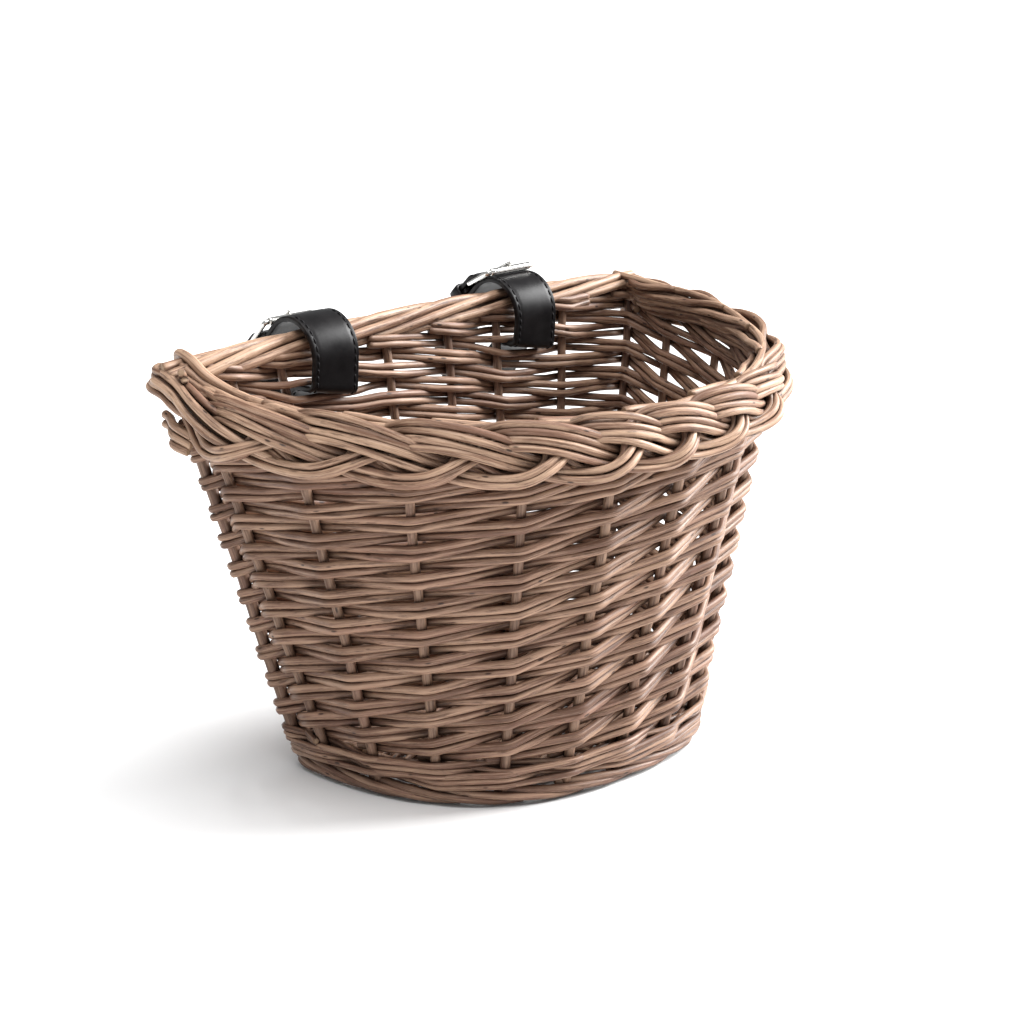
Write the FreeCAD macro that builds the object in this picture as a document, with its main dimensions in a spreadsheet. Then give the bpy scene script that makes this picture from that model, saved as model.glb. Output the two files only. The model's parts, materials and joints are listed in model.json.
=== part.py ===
import FreeCAD, Part
import math
import os

# A willow handlebar basket with a flat back, a plaited border round its curved front, a rolled
# border along the back, and two buckled leather straps that hang it from a handlebar.
#
# Frame: millimetres, +Z up, +X along the flat back, -Y to the curved front.  The origin is the
# middle of the object's outer box, at the height of the surface that the basket stands on.

V = FreeCAD.Vector
doc = FreeCAD.newDocument("HandlebarBasket")

# ---------------------------------------------------------------- driving dimensions

SIZES = [
    # The wall's middle surface: a flat back and half of a superellipse, at the foot and the rim.
    ("foot_half_width", 96.4, "half of the flat back at the foot"),
    ("foot_depth", 108.5, "back to front at the foot"),
    ("foot_square", 2.49, "superellipse exponent at the foot"),
    ("rim_half_width", 141.8, "half of the flat back at the rim"),
    ("rim_depth", 170.3, "back to front at the rim"),
    ("rim_square", 2.17, "superellipse exponent at the rim"),
    ("rim_lean", 27.2, "how far the back has leaned out at the rim"),
    ("rim_height", 185.0, "height at which the rim's sizes hold"),
    # Heights of the bands, from the foot up.
    ("foot_top", 8.0, "top of the foot border"),
    ("wale_top", 21.0, "top of the wale"),
    ("front_weave_top", 158.0, "top of the weave under the front border"),
    ("back_weave_top", 180.0, "top of the weave under the back border"),
    ("border_top", 188.0, "top of the front border"),
    # Thicknesses, each to one side of the wall's middle.
    ("weave_half", 5.5, "half thickness of the weave"),
    ("wale_half", 6.0, "half thickness of the wale"),
    ("foot_half", 4.5, "half thickness of the foot border"),
    ("border_inside", 4.0, "front border, to the inside"),
    ("border_outside", 17.5, "front border, to the outside"),
    ("border_edge", 7.0, "front border, to the outside at its upper and lower edges"),
    ("border_round", 8.5, "height of the front border's rounded edges"),
    ("border_end_gap", 0.5, "room between the front border's ends and the back wall"),
    # Stakes, sticks and border rods.
    ("upright_diameter", 4.4, "an upright"),
    ("upright_gap", 1.0, "room between an upright's ends and the borders"),
    ("front_first_share", 0.058, "first front upright at the foot, along the front's length of 1"),
    ("front_step_share", 0.0855, "from one front upright to the next at the foot"),
    ("front_lean_share", 0.027, "how far a front upright leans along the front at its top"),
    ("front_lean_turn", 2.5, "number of the upright at which that lean turns to the right"),
    ("front_lean_reach", 1.5, "uprights that it takes to reach the whole lean"),
    ("stick_diameter", 5.0, "a base stick"),
    ("stick_pitch", 24.0, "gap between base sticks"),
    ("floor_thickness", 10.0, "the woven floor"),
    ("back_rod_diameter", 5.0, "a rod of the back border"),
    ("back_rod_overhang", 8.0, "how far the back rods pass the corner uprights"),
    ("back_bundle_y", 30.0, "middle of the back border, behind the foot's back line"),
    ("back_bundle_z", 188.5, "middle of the back border"),
    ("channel_gap", 0.1, "room round a stake or stick in the weave"),
    ("channel_past", 6.0, "how far a channel is cut past a stake's ends"),
    # Straps.
    ("strap_place", 62.5, "a strap's middle, from the basket's middle"),
    ("strap_width", 26.0, "leather strap"),
    ("strap_thickness", 2.6, "leather strap"),
    ("crest_y", 31.0, "middle of the bend over the back border"),
    ("crest_z", 185.0, "middle of the bend over the back border"),
    ("crest_radius", 18.0, "outside of the bend over the back border"),
    ("bar_y", 56.0, "middle of the bend round the handlebar"),
    ("bar_z", 160.0, "middle of the bend round the handlebar"),
    ("bar_radius", 18.0, "outside of the bend round the handlebar"),
    ("leg_y", 18.0, "middle of the bend at the foot of the inner leg"),
    ("leg_z", 176.0, "middle of the bend at the foot of the inner leg"),
    ("leg_radius", 5.0, "outside of the bend at the foot of the inner leg"),
    ("strap_slot_width", 28.0, "opening in the weave for a strap"),
    ("strap_slot_low", 155.5, "lower edge of that opening"),
    ("strap_slot_high", 180.0, "upper edge of that opening"),
    ("strap_slot_depth", 54.0, "length of the cut for it, from the foot's back line"),
    ("stitch_inset", 2.2, "seam, from the strap's edge"),
    ("stitch_width", 0.7, "seam thread"),
    ("stitch_height", 0.25, "seam thread, above the leather"),
    ("stitch_end", 5.0, "where the seams end, before the middle of the bend over the border"),
    # Buckles: places are along the strap's straight slope behind the border.
    ("right_heel_place", 2.0, "right heel bar, along the slope"),
    ("left_heel_place", 18.0, "left heel bar, along the slope"),
    ("right_buckle_tilt", 16.5, "right buckle, turned down over the bend"),
    ("left_buckle_tilt", -1.5, "left buckle, turned up off the slope"),
    ("heel_height", 1.8, "heel bar's middle above the leather"),
    ("buckle_length", 16.2, "heel bar to roller"),
    ("buckle_wire", 2.4, "diameter of the buckle's heel and side bars"),
    ("buckle_side_place", 14.7, "middle of a side bar, from the strap's middle"),
    ("axle_diameter", 2.6, "bar inside the roller"),
    ("roller_diameter", 3.8, "outside of the roller"),
    ("roller_length", 25.6, "roller"),
    ("running_gap", 0.06, "radial play of the roller and the prong"),
    ("prong_eye_diameter", 5.6, "prong, round the heel bar"),
    ("prong_width", 3.0, "prong"),
    ("prong_thickness", 1.8, "prong"),
    ("prong_overhang", 2.2, "prong tip, past the roller's middle"),
    ("prong_slot_width", 4.4, "slot in the leather for the prong"),
    ("prong_slot_under", 3.4, "slot, below the heel bar's middle"),
    ("prong_slot_reach", 5.4, "slot, past the heel bar, so that the prong can lift"),
    ("chape_start", 3.4, "folded end of the strap, from the heel bar"),
    ("chape_length", 13.6, "folded end of the strap"),
    ("chape_height", 3.1, "thickness of the folded end"),
    ("bridge_length", 2.0, "where the tail is joined to the folded end"),
    ("bridge_lap", 0.1, "how far that joint reaches into both"),
    ("tail_rise_start", 11.0, "where the tail leaves the loop, before the heel bar"),
    ("tail_height", 3.3, "underside of the tail over the heel bar"),
    ("tail_reach", 20.0, "tail, past the heel bar"),
    ("keeper_place", 8.0, "keeper, past the heel bar"),
    ("keeper_width", 7.0, "keeper, along the strap"),
    ("keeper_wall", 1.6, "keeper's leather"),
    ("keeper_gap", 0.35, "room inside the keeper"),
    ("keeper_cut_past", 1.0, "how far the keeper's opening is cut past each edge"),
]

FRONT_UPRIGHTS = 11
# Places of the uprights in the flat back, left to right, as shares of its half width.
BACK_UPRIGHT_SHARES = (-1.0, -0.80, -0.60, -0.16, 0.11, 0.34, 0.66, 1.0)
BASE_STICK_STEPS = range(-3, 4)
BACK_ROD_COLUMNS = (-0.5, 0.5)
BACK_ROD_ROWS = (-1.0, 0.0, 1.0)

sheet = doc.addObject("Spreadsheet::Sheet", "Sizes")
for row, (alias, value, note) in enumerate(SIZES, start=1):
    sheet.set("A%d" % row, alias)
    sheet.set("B%d" % row, str(value))
    sheet.set("C%d" % row, note)
    sheet.setAlias("B%d" % row, alias)
doc.recompute()


def size(alias):
    """The value of one cell."""
    return float(getattr(sheet, alias))


def bind(thing, **formulas):
    """Ties properties of an object to cells, written as formulas of the cells' names."""
    cells = {alias for alias, _, _ in SIZES}
    for prop, formula in formulas.items():
        words = formula.split()
        linked = ["Sizes." + word if word in cells else word for word in words]
        thing.setExpression(prop, " ".join(linked))


nodes = {}


def keep(node, thing):
    """Names a finished sub-part."""
    thing.Label = node
    nodes[node] = thing
    return thing


def keep_shape(node, shape):
    """Stores a sub-part whose shape is worked out here."""
    thing = doc.addObject("Part::Feature", node)
    thing.Shape = shape
    return keep(node, thing)


# ---------------------------------------------------------------- strap loop, in side view

def strap_circles():
    """The three bends of a strap loop as (y, z, radius), behind the foot's back line."""
    return [(size(name + "_y"), size(name + "_z"), size(name + "_radius"))
            for name in ("bar", "crest", "leg")]


def slope_frame():
    """Start of the strap's straight slope, its direction and its outward normal, as (y, z)."""
    (bar_y, bar_z, _), (crest_y, crest_z, radius), _ = strap_circles()
    length = math.hypot(bar_y - crest_y, bar_z - crest_z)
    along = ((bar_y - crest_y) / length, (bar_z - crest_z) / length)
    out = (-along[1], along[0])
    start = (crest_y + radius * out[0], crest_z + radius * out[1])
    return start, along, out


def slope_yz(place, height):
    """The (y, z) of a point given by its place along the slope and its height above it."""
    start, along, out = slope_frame()
    return (start[0] + place * along[0] + height * out[0],
            start[1] + place * along[1] + height * out[1])


def wall_sizes(height):
    """Half width, depth, exponent and lean of the wall's middle surface at a height."""
    share = height / size("rim_height")
    half_width, depth, square = (
        size("foot_" + name) + share * (size("rim_" + name) - size("foot_" + name))
        for name in ("half_width", "depth", "square"))
    return half_width, depth, square, share * size("rim_lean")


# The foot's back line is set so that the outer box is centred on the origin: the front border
# is widest where its upper rounded edge begins, and the left strap's tail reaches furthest back.
_, WIDEST_DEPTH, _, WIDEST_LEAN = wall_sizes(size("border_top") - size("border_round"))
FRONT_REACH = WIDEST_DEPTH + size("border_outside") - WIDEST_LEAN
TAIL_TOP = size("tail_height") + size("strap_thickness")
REAR_REACH = slope_yz(size("left_heel_place") + size("tail_reach"), TAIL_TOP)[0]
BACK_LINE = (FRONT_REACH - REAR_REACH) / 2


# ---------------------------------------------------------------- the basket's outline

def outline_sizes(height, grow=0.0):
    """Half width, depth, exponent and back line of the wall at a height, offset by grow."""
    half_width, depth, square, lean = wall_sizes(height)
    return half_width + grow, depth + 2 * grow, square, BACK_LINE + lean + grow


def outline_point(height, turn, grow=0.0):
    """A point of the curved front: turn runs from 0 at the left corner to 1 at the right."""
    half_width, depth, square, back = outline_sizes(height, grow)
    angle = math.pi * turn
    power = 2 / square
    across = math.copysign(abs(math.cos(angle)) ** power, math.cos(angle))
    return V(-half_width * across, back - depth * abs(math.sin(angle)) ** power, height)


def front_point(height, share):
    """The point a share of the way along the curved front, measured along the curve."""
    steps = 240
    points = [outline_point(height, step / steps) for step in range(steps + 1)]
    lengths = [(b - a).Length for a, b in zip(points, points[1:])]
    left = share * sum(lengths)
    for start, end, length in zip(points, points[1:], lengths):
        if left <= length:
            return start + (end - start) * (left / length)
        left -= length
    return points[-1]


def back_point(height, share):
    """The point of the flat back at a share of its half width."""
    half_width, _, _, back = outline_sizes(height)
    return V(share * half_width, back, height)


def outline_wire(height, grow):
    """The closed outline at one height: the curved front and the straight back."""
    steps = 24
    points = [outline_point(height, step / steps, grow) for step in range(steps + 1)]
    curve = Part.BSplineCurve()
    curve.interpolate(Points=points, InitialTangent=V(0, -1, 0), FinalTangent=V(0, 1, 0))
    back = Part.LineSegment(points[-1], points[0])
    return Part.Wire([curve.toShape(), back.toShape()])


def outline_loft(levels):
    """A solid through the outlines at (height, grow) levels."""
    return Part.makeLoft([outline_wire(height, grow) for height, grow in levels], True, True)


def outline_ring(outer_levels, inner_levels):
    """The wall between two such solids."""
    return outline_loft(outer_levels).cut(outline_loft(inner_levels))


LARGE = 1000.0  # longer than anything here, for boxes that cut a whole side away


def room_in_front_of(back, low):
    """Everything in front of one plane and above a height."""
    return Part.makeBox(LARGE, LARGE, LARGE, V(-LARGE / 2, back - LARGE, low))


def room_behind(front, low):
    """Everything behind one plane and above a height."""
    return Part.makeBox(LARGE, LARGE, LARGE, V(-LARGE / 2, front, low))


# ---------------------------------------------------------------- uprights and base sticks

def along_line(start, end):
    """The placement that lays the Z axis along the line from start to end."""
    return FreeCAD.Placement(start, FreeCAD.Rotation(V(0, 0, 1), end - start))


def front_shares(number):
    """Shares of the front's length at which an upright has its foot and its top."""
    foot = size("front_first_share") + (number - 1) * size("front_step_share")
    turned = (number - size("front_lean_turn")) / size("front_lean_reach")
    return foot, foot + size("front_lean_share") * max(-1.0, min(1.0, turned))


def make_upright(node, foot, top):
    """One straight willow stake from foot to top."""
    stake = doc.addObject("Part::Cylinder", node)
    bind(stake, Radius="upright_diameter / 2")
    stake.Height = (top - foot).Length
    stake.Placement = along_line(foot, top)
    return keep(node, stake)


def make_uprights():
    """All stakes: those of the curved front, then those of the flat back with its corners."""
    low = size("foot_top") + size("upright_gap")
    stakes = []
    for number in range(1, FRONT_UPRIGHTS + 1):
        low_share, top_share = front_shares(number)
        top = size("front_weave_top") - size("upright_gap")
        stakes.append(make_upright("front_upright_%02d" % number,
                                   front_point(low, low_share), front_point(top, top_share)))
    for number, share in enumerate(BACK_UPRIGHT_SHARES, start=1):
        top = size("back_weave_top") - size("upright_gap")
        stakes.append(make_upright("back_upright_%d" % number,
                                   back_point(low, share), back_point(top, share)))
    return stakes


def channels(stakes, clearance):
    """The room that a set of cylinders takes out of the weave, run past both their ends."""
    past = size("channel_past")
    tools = []
    for stake in stakes:
        axis = stake.Placement.Rotation.multVec(V(0, 0, 1))
        start = stake.Placement.Base - axis * past
        tools.append(Part.makeCylinder(stake.Radius.Value + clearance,
                                       stake.Height.Value + 2 * past, start, axis))
    return Part.makeCompound(tools)


def make_base_sticks():
    """Straight sticks from back to front under the floor's weave."""
    height = size("foot_top") + size("floor_thickness") / 2
    half_width, depth, square, back = outline_sizes(size("foot_top"), -size("wale_half"))
    sticks = []
    for number, step in enumerate(BASE_STICK_STEPS, start=1):
        x = step * size("stick_pitch")
        front = back - depth * (1 - (abs(x) / half_width) ** square) ** (1 / square)
        stick = doc.addObject("Part::Cylinder", "base_stick_%d" % number)
        bind(stick, Radius="stick_diameter / 2")
        stick.Height = back - front - 2 * size("stick_diameter")
        start = V(x, front + size("stick_diameter"), height)
        stick.Placement = along_line(start, start + V(0, 1, 0))
        sticks.append(keep("base_stick_%d" % number, stick))
    return sticks


# ---------------------------------------------------------------- woven bands

def make_foot_border():
    """The rolled border that the basket stands on, with a flat underside."""
    half = size("foot_half")
    levels = [0.0, size("foot_top")]
    keep_shape("foot_border", outline_ring([(z, half) for z in levels],
                                           [(z, -half) for z in levels]))


def make_wale(stakes):
    """The firm band of three-rod wale above the foot."""
    half = size("wale_half")
    levels = [size("foot_top"), size("wale_top")]
    ring = outline_ring([(z, half) for z in levels], [(z, -half) for z in levels])
    keep_shape("upset_wale", ring.cut(channels(stakes, size("channel_gap"))))


def make_floor(sticks):
    """The woven floor, with the sticks' channels through it."""
    low = size("foot_top")
    wire = outline_wire(low, -size("wale_half"))
    plate = Part.Face(wire).extrude(V(0, 0, size("floor_thickness")))
    keep_shape("floor_weave", plate.cut(channels(sticks, size("channel_gap"))))


def strap_slots():
    """The two openings in the back wall that the straps pass through."""
    width = size("strap_slot_width")
    low, high = size("strap_slot_low"), size("strap_slot_high")
    boxes = []
    for side in (-1, 1):
        corner = V(side * size("strap_place") - width / 2, BACK_LINE, low)
        boxes.append(Part.makeBox(width, size("strap_slot_depth"), high - low, corner))
    return boxes


def make_side_weave(stakes):
    """The weave of rod pairs, higher at the back than under the front border."""
    half = size("weave_half")
    levels = [size("wale_top"), size("back_weave_top")]
    ring = outline_ring([(z, half) for z in levels], [(z, -half) for z in levels])
    above_front = room_in_front_of(back_wall_front(), size("front_weave_top"))
    for tool in [above_front, channels(stakes, size("channel_gap"))] + strap_slots():
        ring = ring.cut(tool)
    keep_shape("side_weave", ring)


def back_wall_front():
    """The plane just inside the back wall, where the front border ends."""
    inside = outline_sizes(size("front_weave_top"), -size("weave_half"))[3]
    return inside - size("border_end_gap")


def make_front_border():
    """The thick plait round the curved front, from corner to corner."""
    low, high = size("front_weave_top"), size("border_top")
    edge, full, inside = size("border_edge"), size("border_outside"), size("border_inside")
    edge_height = size("border_round")
    outer = [(low, edge), (low + edge_height, full), (high - edge_height, full), (high, edge)]
    inner = [(low, -inside), (high, -inside)]
    keep_shape("front_border", outline_ring(outer, inner).cut(room_behind(back_wall_front(), 0)))


def make_back_border():
    """The thick rods of the rolled border, side by side along the back."""
    number = 0
    half_length = size("rim_half_width") + size("back_rod_overhang")
    for column in BACK_ROD_COLUMNS:
        for row in BACK_ROD_ROWS:
            number += 1
            node = "back_border_rod_%d" % number
            rod = doc.addObject("Part::Cylinder", node)
            bind(rod, Radius="back_rod_diameter / 2",
                 Height="2 * ( rim_half_width + back_rod_overhang )")
            start = V(-half_length,
                      BACK_LINE + size("back_bundle_y") + column * size("back_rod_diameter"),
                      size("back_bundle_z") + row * size("back_rod_diameter"))
            rod.Placement = along_line(start, start + V(1, 0, 0))
            keep(node, rod)


# ---------------------------------------------------------------- leather of a strap

def loop_face(x, shrink):
    """The face inside a strap loop's outline: an arc on each bend and straights between."""
    circles = [(V(x, BACK_LINE + y, z), radius - shrink) for y, z, radius in strap_circles()]
    normals = []
    for (here, radius), (there, next_radius) in zip(circles, circles[1:] + circles[:1]):
        step = there - here
        along = step / step.Length
        right = V(0, along.z, -along.y)
        lean = (radius - next_radius) / step.Length
        normals.append(along * lean + right * math.sqrt(1 - lean * lean))
    edges = []
    for index, (middle, radius) in enumerate(circles):
        first, last = normals[index - 1], normals[index]
        halfway = (first + last) / (first + last).Length
        points = [middle + normal * radius for normal in (first, halfway, last)]
        edges.append(Part.Arc(*points).toShape())
        following, next_radius = circles[(index + 1) % len(circles)]
        edges.append(Part.LineSegment(points[-1], following + last * next_radius).toShape())
    return Part.Face(Part.Wire(edges))


def loop_ring(x, width, outside, inside):
    """A ring of the loop's shape, from one depth below its outer surface to another."""
    outer, inner = (loop_face(x, depth).extrude(V(width, 0, 0)) for depth in (outside, inside))
    return outer.cut(inner)


def slope_prism(corners, x, width):
    """A prism across the strap on corners given as (place, height) along the slope."""
    points = []
    for place, height in corners:
        y, z = slope_yz(place, height)
        points.append(V(x, BACK_LINE + y, z))
    return Part.Face(Part.makePolygon(points + points[:1])).extrude(V(width, 0, 0))


def slope_box(start, end, low, high, x, width):
    """A box across the strap between two places and two heights of the slope."""
    return slope_prism([(start, low), (end, low), (end, high), (start, high)], x, width)


def strap_fall(place):
    """How far the loop's outer surface has dropped below the slope at a place."""
    radius = size("crest_radius")
    return radius - math.sqrt(radius ** 2 - min(place, 0.0) ** 2)


def make_strap_band(node, middle, heel):
    """A strap: the loop, its folded end behind the heel bar, and its tail over both."""
    width, thick = size("strap_width"), size("strap_thickness")
    left = middle - width / 2
    loop = loop_ring(left, width, 0.0, thick)
    chape_start = heel + size("chape_start")
    chape_end = chape_start + size("chape_length")
    chape = slope_box(chape_start, chape_end, -thick / 2, size("chape_height"), left, width)
    rise = heel - size("tail_rise_start")
    foot = -strap_fall(rise)
    flat = size("tail_height")
    end = heel + size("tail_reach")
    heel_edge = heel - size("buckle_wire") / 2
    tail = slope_prism([(rise, foot - thick), (heel_edge, flat), (end, flat),
                        (end, flat + thick), (heel_edge, flat + thick), (rise, foot)],
                       left, width)
    lap = size("bridge_lap")
    bridge = slope_box(chape_end - size("bridge_length"), chape_end,
                       size("chape_height") - lap, flat + lap, left, width)
    band = loop.fuse([chape, tail, bridge]).removeSplitter()
    slot = size("prong_slot_width")
    below = size("heel_height") - size("prong_slot_under")
    above = size("heel_height") + size("prong_eye_diameter")
    prong_room = slope_box(heel - size("buckle_length"), heel + size("prong_slot_reach"),
                           below, above, middle - slot / 2, slot)
    keep_shape(node, band.cut(prong_room))


def make_stitching(node, middle):
    """Two seams, one along each edge of the inner leg."""
    inset, thread = size("stitch_inset"), size("stitch_width")
    half = size("strap_width") / 2
    room = room_behind(BACK_LINE + size("crest_y") - size("stitch_end"), 0)
    seams = []
    for x in (middle - half + inset, middle + half - inset - thread):
        seams.append(loop_ring(x, thread, -size("stitch_height"), 0.0).cut(room))
    keep_shape(node, Part.makeCompound(seams))


def slope_placement(heel, height, turn, middle):
    """The frame of a buckle: X across, Y down the slope and Z out of the leather."""
    y, z = slope_yz(heel, height)
    _, along, _ = slope_frame()
    slope = math.degrees(math.atan2(along[1], along[0]))
    return FreeCAD.Placement(V(middle, BACK_LINE + y, z),
                             FreeCAD.Rotation(V(1, 0, 0), slope + turn))


def make_keeper(node, middle, heel):
    """The leather loop that holds the tail down."""
    outer = doc.addObject("Part::Box", node + "_outer")
    bind(outer, Length="strap_width + 2 * ( keeper_gap + keeper_wall )", Width="keeper_width",
         Height="strap_thickness * 2 + tail_height + 2 * ( keeper_gap + keeper_wall )")
    inner = doc.addObject("Part::Box", node + "_inner")
    bind(inner, Length="strap_width + 2 * keeper_gap",
         Width="keeper_width + 2 * keeper_cut_past",
         Height="strap_thickness * 2 + tail_height + 2 * keeper_gap")
    gap, wall = size("keeper_gap"), size("keeper_wall")
    half, under = size("strap_width") / 2, -size("strap_thickness")
    frame = slope_placement(heel + size("keeper_place"), 0.0, 0.0, middle)
    for box, out, back in ((outer, gap + wall, 0.0), (inner, gap, -size("keeper_cut_past"))):
        corner = V(-half - out, back, under - out)
        box.Placement = frame.multiply(FreeCAD.Placement(corner, FreeCAD.Rotation()))
    keeper = doc.addObject("Part::Cut", node)
    keeper.Base, keeper.Tool = outer, inner
    keep(node, keeper)


# ---------------------------------------------------------------- buckle metal

ACROSS = FreeCAD.Rotation(V(0, 1, 0), 90)
DOWN_SLOPE = FreeCAD.Rotation(V(1, 0, 0), -90)


def bar(name, frame, start, turn, **formulas):
    """A round bar in a buckle's frame."""
    rod = doc.addObject("Part::Cylinder", name)
    bind(rod, **formulas)
    rod.Placement = frame.multiply(FreeCAD.Placement(start, turn))
    return rod


def make_buckle_frame(node, frame):
    """The wire frame: heel bar, the bar in the roller and two side bars."""
    side, length = size("buckle_side_place"), size("buckle_length")
    bars = [
        bar(node + "_heel", frame, V(-side, 0, 0), ACROSS,
            Radius="buckle_wire / 2", Height="2 * buckle_side_place"),
        bar(node + "_axle", frame, V(-side, -length, 0), ACROSS,
            Radius="axle_diameter / 2", Height="2 * buckle_side_place"),
    ]
    for name, x in (("_side_a", -side), ("_side_b", side)):
        bars.append(bar(node + name, frame, V(x, -length, 0), DOWN_SLOPE,
                        Radius="buckle_wire / 2", Height="buckle_length"))
        for end, y in (("_toe", -length), ("_root", 0.0)):
            ball = doc.addObject("Part::Sphere", node + name + end)
            bind(ball, Radius="axle_diameter / 2")
            ball.Placement = frame.multiply(FreeCAD.Placement(V(x, y, 0), FreeCAD.Rotation()))
            bars.append(ball)
    whole = doc.addObject("Part::MultiFuse", node)
    whole.Shapes = bars
    keep(node, whole)


def make_roller(node, frame):
    """The tube that turns on the buckle's front bar."""
    start = V(-size("roller_length") / 2, -size("buckle_length"), 0)
    tube = bar(node + "_tube", frame, start, ACROSS,
               Radius="roller_diameter / 2", Height="roller_length")
    bore = bar(node + "_bore", frame, start, ACROSS,
               Radius="axle_diameter / 2 + running_gap", Height="roller_length")
    roller = doc.addObject("Part::Cut", node)
    roller.Base, roller.Tool = tube, bore
    keep(node, roller)


def make_prong(node, frame):
    """The prong: an eye on the heel bar and an arm that rests on the roller."""
    width = size("prong_width")
    start = V(-width / 2, 0, 0)
    eye = bar(node + "_eye", frame, start, ACROSS,
              Radius="prong_eye_diameter / 2", Height="prong_width")
    arm = doc.addObject("Part::Box", node + "_arm")
    bind(arm, Length="prong_width", Width="buckle_length + prong_overhang",
         Height="prong_thickness")
    reach = size("buckle_length") + size("prong_overhang")
    rest = size("roller_diameter") / 2 + size("running_gap")
    corner = V(-width / 2, -reach, rest)
    arm.Placement = frame.multiply(FreeCAD.Placement(corner, FreeCAD.Rotation()))
    blank = doc.addObject("Part::Fuse", node + "_blank")
    blank.Base, blank.Tool = eye, arm
    bore = bar(node + "_bore", frame, start, ACROSS,
               Radius="buckle_wire / 2 + running_gap", Height="prong_width")
    prong = doc.addObject("Part::Cut", node)
    prong.Base, prong.Tool = blank, bore
    keep(node, prong)


def make_strap(side, direction):
    """One whole strap with its buckle."""
    middle = direction * size("strap_place")
    heel = size(side + "_heel_place")
    prefix = side + "_"
    frame = slope_placement(heel, size("heel_height"), size(side + "_buckle_tilt"), middle)
    make_strap_band(prefix + "strap_band", middle, heel)
    make_stitching(prefix + "strap_stitching", middle)
    make_keeper(prefix + "strap_keeper", middle, heel)
    make_buckle_frame(prefix + "buckle_frame", frame)
    make_roller(prefix + "buckle_roller", frame)
    make_prong(prefix + "buckle_prong", frame)
    toe = frame.multVec(V(0, -size("buckle_length"), 0))
    for name, point in (("heel bar", frame.Base), ("roller", toe)):
        print(side, name, [round(value, 4) for value in point])


# ---------------------------------------------------------------- build, check and write

def build():
    stakes = make_uprights()
    sticks = make_base_sticks()
    doc.recompute()
    make_foot_border()
    make_wale(stakes)
    make_floor(sticks)
    make_side_weave(stakes)
    make_front_border()
    make_back_border()
    make_strap("left", -1)
    make_strap("right", 1)
    doc.recompute()


def check():
    for thing in doc.Objects:
        for state in thing.State:
            if state in ("Invalid", "Error"):
                raise RuntimeError("%s is %s" % (thing.Label, state))
    for node, thing in nodes.items():
        if thing.Shape.isNull() or not thing.Shape.isValid() or thing.Shape.Volume <= 0:
            raise RuntimeError("%s has no sound shape" % node)


def write():
    os.makedirs("parts", exist_ok=True)
    for node, thing in nodes.items():
        thing.Shape.exportStep("parts/%s.step" % node)


build()
check()
write()
box = Part.makeCompound([thing.Shape for thing in nodes.values()]).BoundBox
print(len(nodes), "nodes, box", [round(value, 2) for value in (
    box.XMin, box.XMax, box.YMin, box.YMax, box.ZMin, box.ZMax)])
print("back line", round(BACK_LINE, 4))
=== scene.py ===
import json
import math
import zlib

import bpy
import numpy as np
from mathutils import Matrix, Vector


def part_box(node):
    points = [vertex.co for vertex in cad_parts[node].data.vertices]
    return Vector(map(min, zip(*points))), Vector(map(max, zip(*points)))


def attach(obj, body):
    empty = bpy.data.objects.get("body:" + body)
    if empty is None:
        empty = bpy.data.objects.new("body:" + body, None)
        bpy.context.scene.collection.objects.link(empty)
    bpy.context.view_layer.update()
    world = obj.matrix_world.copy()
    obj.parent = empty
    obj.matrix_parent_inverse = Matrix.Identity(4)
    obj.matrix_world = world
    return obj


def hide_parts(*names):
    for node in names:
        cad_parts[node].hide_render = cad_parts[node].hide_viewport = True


# A willow handlebar basket: a randed wall on separate stakes, a wale and a rolled foot below it, a
# three-strand plait round the front, a rolled border along the back, and two buckled straps.
#
# Metres, +Z up, +X along the flat back, -Y to the curved front.  "Ring" order is counter-clockwise
# seen from above: the left back corner, round the front, the right back corner, along the back.

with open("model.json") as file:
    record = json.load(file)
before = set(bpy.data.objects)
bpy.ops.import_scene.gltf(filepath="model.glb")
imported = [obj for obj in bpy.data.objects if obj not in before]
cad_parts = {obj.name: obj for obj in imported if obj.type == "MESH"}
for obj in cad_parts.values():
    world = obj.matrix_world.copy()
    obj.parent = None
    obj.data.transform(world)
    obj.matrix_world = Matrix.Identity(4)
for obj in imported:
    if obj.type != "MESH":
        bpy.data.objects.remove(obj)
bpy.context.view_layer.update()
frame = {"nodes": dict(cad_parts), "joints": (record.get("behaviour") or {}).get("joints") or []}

MM = 0.001
UP = np.array([0.0, 0.0, 1.0])

# The wall's middle surface, as in the CAD: half width, depth and squareness at foot and rim.
FOOT = np.array([96.4 * MM, 108.5 * MM, 2.49])
RIM = np.array([141.8 * MM, 170.3 * MM, 2.17])
RIM_LEAN = 27.2 * MM
RIM_HEIGHT = 185 * MM
FOOT_TOP = 8 * MM
FOOT_HALF = 4.5 * MM
BACK_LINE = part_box("foot_border")[1].y - FOOT_HALF - RIM_LEAN * FOOT_TOP / RIM_HEIGHT

FRONT_STAKES = ["front_upright_%02d" % number for number in range(1, 12)]
BACK_STAKES = ["back_upright_%d" % number for number in range(8, 1, -1)]
RING = ["back_upright_1"] + FRONT_STAKES + BACK_STAKES
RIGHT_CORNER = len(FRONT_STAKES) + 1

STAKE_RADIUS = 2.2 * MM
STEP = 2.5 * MM
STRAP_PLACE = 62.5 * MM


# ---- lines in space

def seeded(name):
    """A random source that depends only on a name."""
    return np.random.default_rng(zlib.crc32(name.encode()))


def wander(random, places, wave, swing):
    """A smooth random value along a line, with a usual wavelength and swing."""
    total = np.zeros(len(places))
    for _ in range(4):
        length = wave * random.uniform(0.6, 1.8)
        total += np.sin(2 * np.pi * places / length + random.uniform(0, 2 * np.pi))
    return swing * total / 2


def smooth_step(share):
    """A share held to 0 to 1 and eased at both ends."""
    share = np.clip(share, 0, 1)
    return share * share * (3 - 2 * share)


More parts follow.
